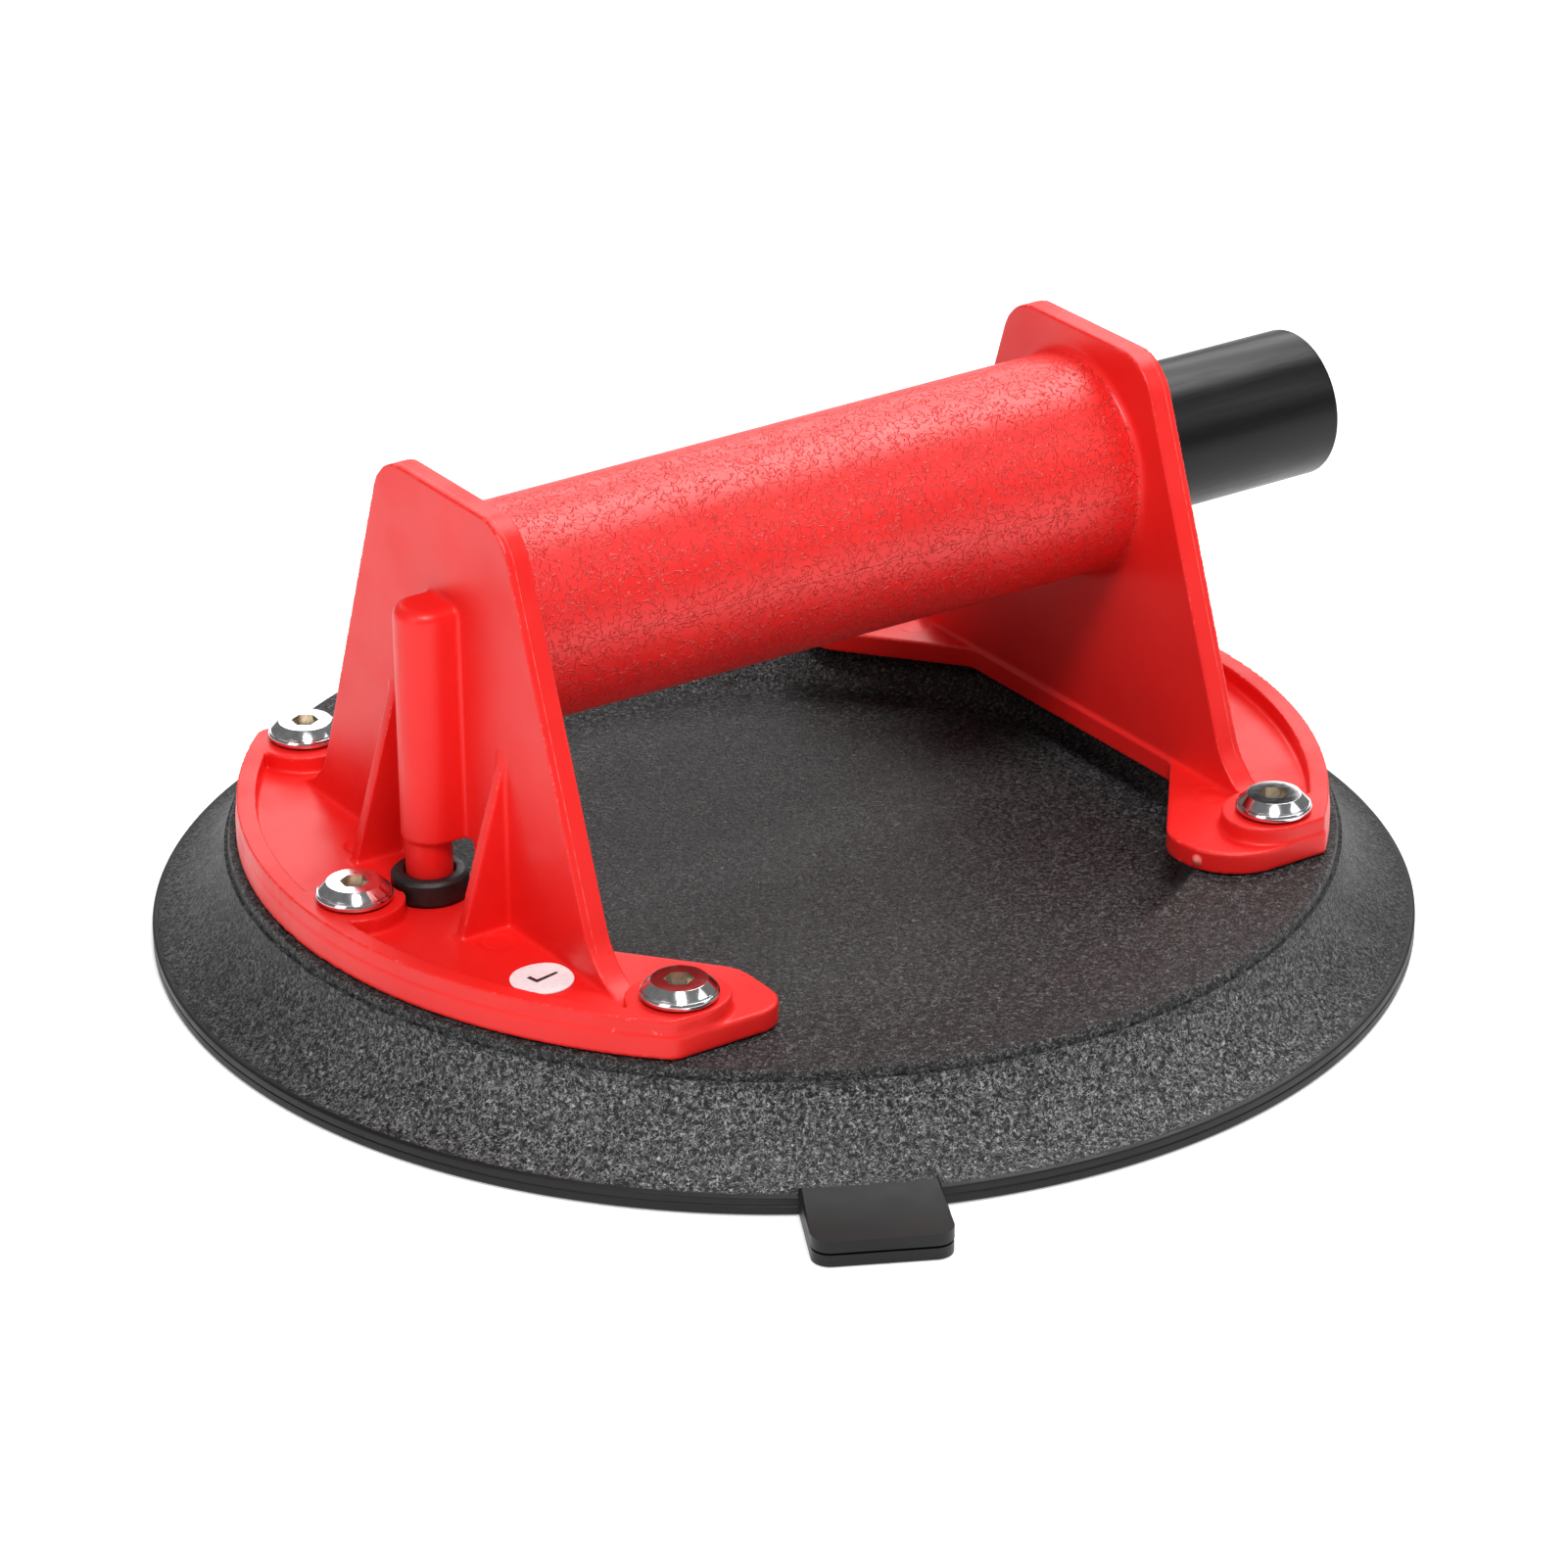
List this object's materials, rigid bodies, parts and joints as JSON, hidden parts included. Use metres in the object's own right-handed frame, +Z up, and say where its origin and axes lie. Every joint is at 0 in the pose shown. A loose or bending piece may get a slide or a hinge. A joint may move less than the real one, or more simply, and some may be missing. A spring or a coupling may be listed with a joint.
{
  "type": "vacuum suction cup",
  "caption": "Hand-held vacuum cup for glass and stone: round rubber pad bolted under a tubular handle, with a spring-return hand pump whose plunger comes out of one end.",
  "frame": {"origin": "centre of the pad's sealing plane", "axes": "+X along the handle towards the plunger, +Z up from the surface the cup holds, lift tab towards -Y"},
  "size_m": [0.2039, 0.2091, 0.0869],
  "materials": {
    "red_abs": "moulded, fine leather grain on the grip",
    "pad_rubber": "matt, fine grain",
    "seal_rubber": "smooth",
    "screw_chrome": "nickel plated",
    "zinc_steel": "zinc plated",
    "spring_steel": "bright drawn",
    "plunger_plastic": "satin, rubbed by the bush",
    "pump_plastic": "smooth",
    "white_nylon": "smooth",
    "felt": "pressed felt",
    "paper": "coated label paper, blank"
  },
  "bodies": {
    "base": {"handle_body": "red_abs", "vacuum_pad": "pad_rubber", "stiffener_ring": "zinc_steel", "threaded_insert_1": "zinc_steel", "threaded_insert_2": "zinc_steel", "threaded_insert_3": "zinc_steel", "threaded_insert_4": "zinc_steel", "threaded_insert_5": "zinc_steel", "threaded_insert_6": "zinc_steel", "clamp_screw_1": "screw_chrome", "clamp_screw_2": "screw_chrome", "clamp_screw_3": "screw_chrome", "clamp_screw_4": "screw_chrome", "clamp_screw_5": "screw_chrome", "clamp_screw_6": "screw_chrome", "air_port_grommet": "seal_rubber", "filter_disc": "felt", "inlet_valve_cage": "white_nylon", "return_spring": "spring_steel", "guide_bush": "pump_plastic", "bush_clip": "spring_steel", "inspection_sticker": "paper"},
    "plunger": {"plunger_tube": "plunger_plastic", "piston_head": "pump_plastic", "piston_cup_seal": "seal_rubber"},
    "inlet_valve": {"inlet_valve_disc": "seal_rubber"}
  },
  "joints": [
    {"name": "plunger_slide", "type": "slide", "parent": "base", "child": "plunger", "axis": [-1, 0, 0], "range_m": [0, 0.036], "stiffness_N_per_m": 400, "springref_m": -0.04, "deforming": ["return_spring"]},
    {"name": "inlet_valve_lift", "type": "slide", "parent": "base", "child": "inlet_valve", "axis": [1, 0, 0], "range_m": [0, 0.0008]}
  ]
}
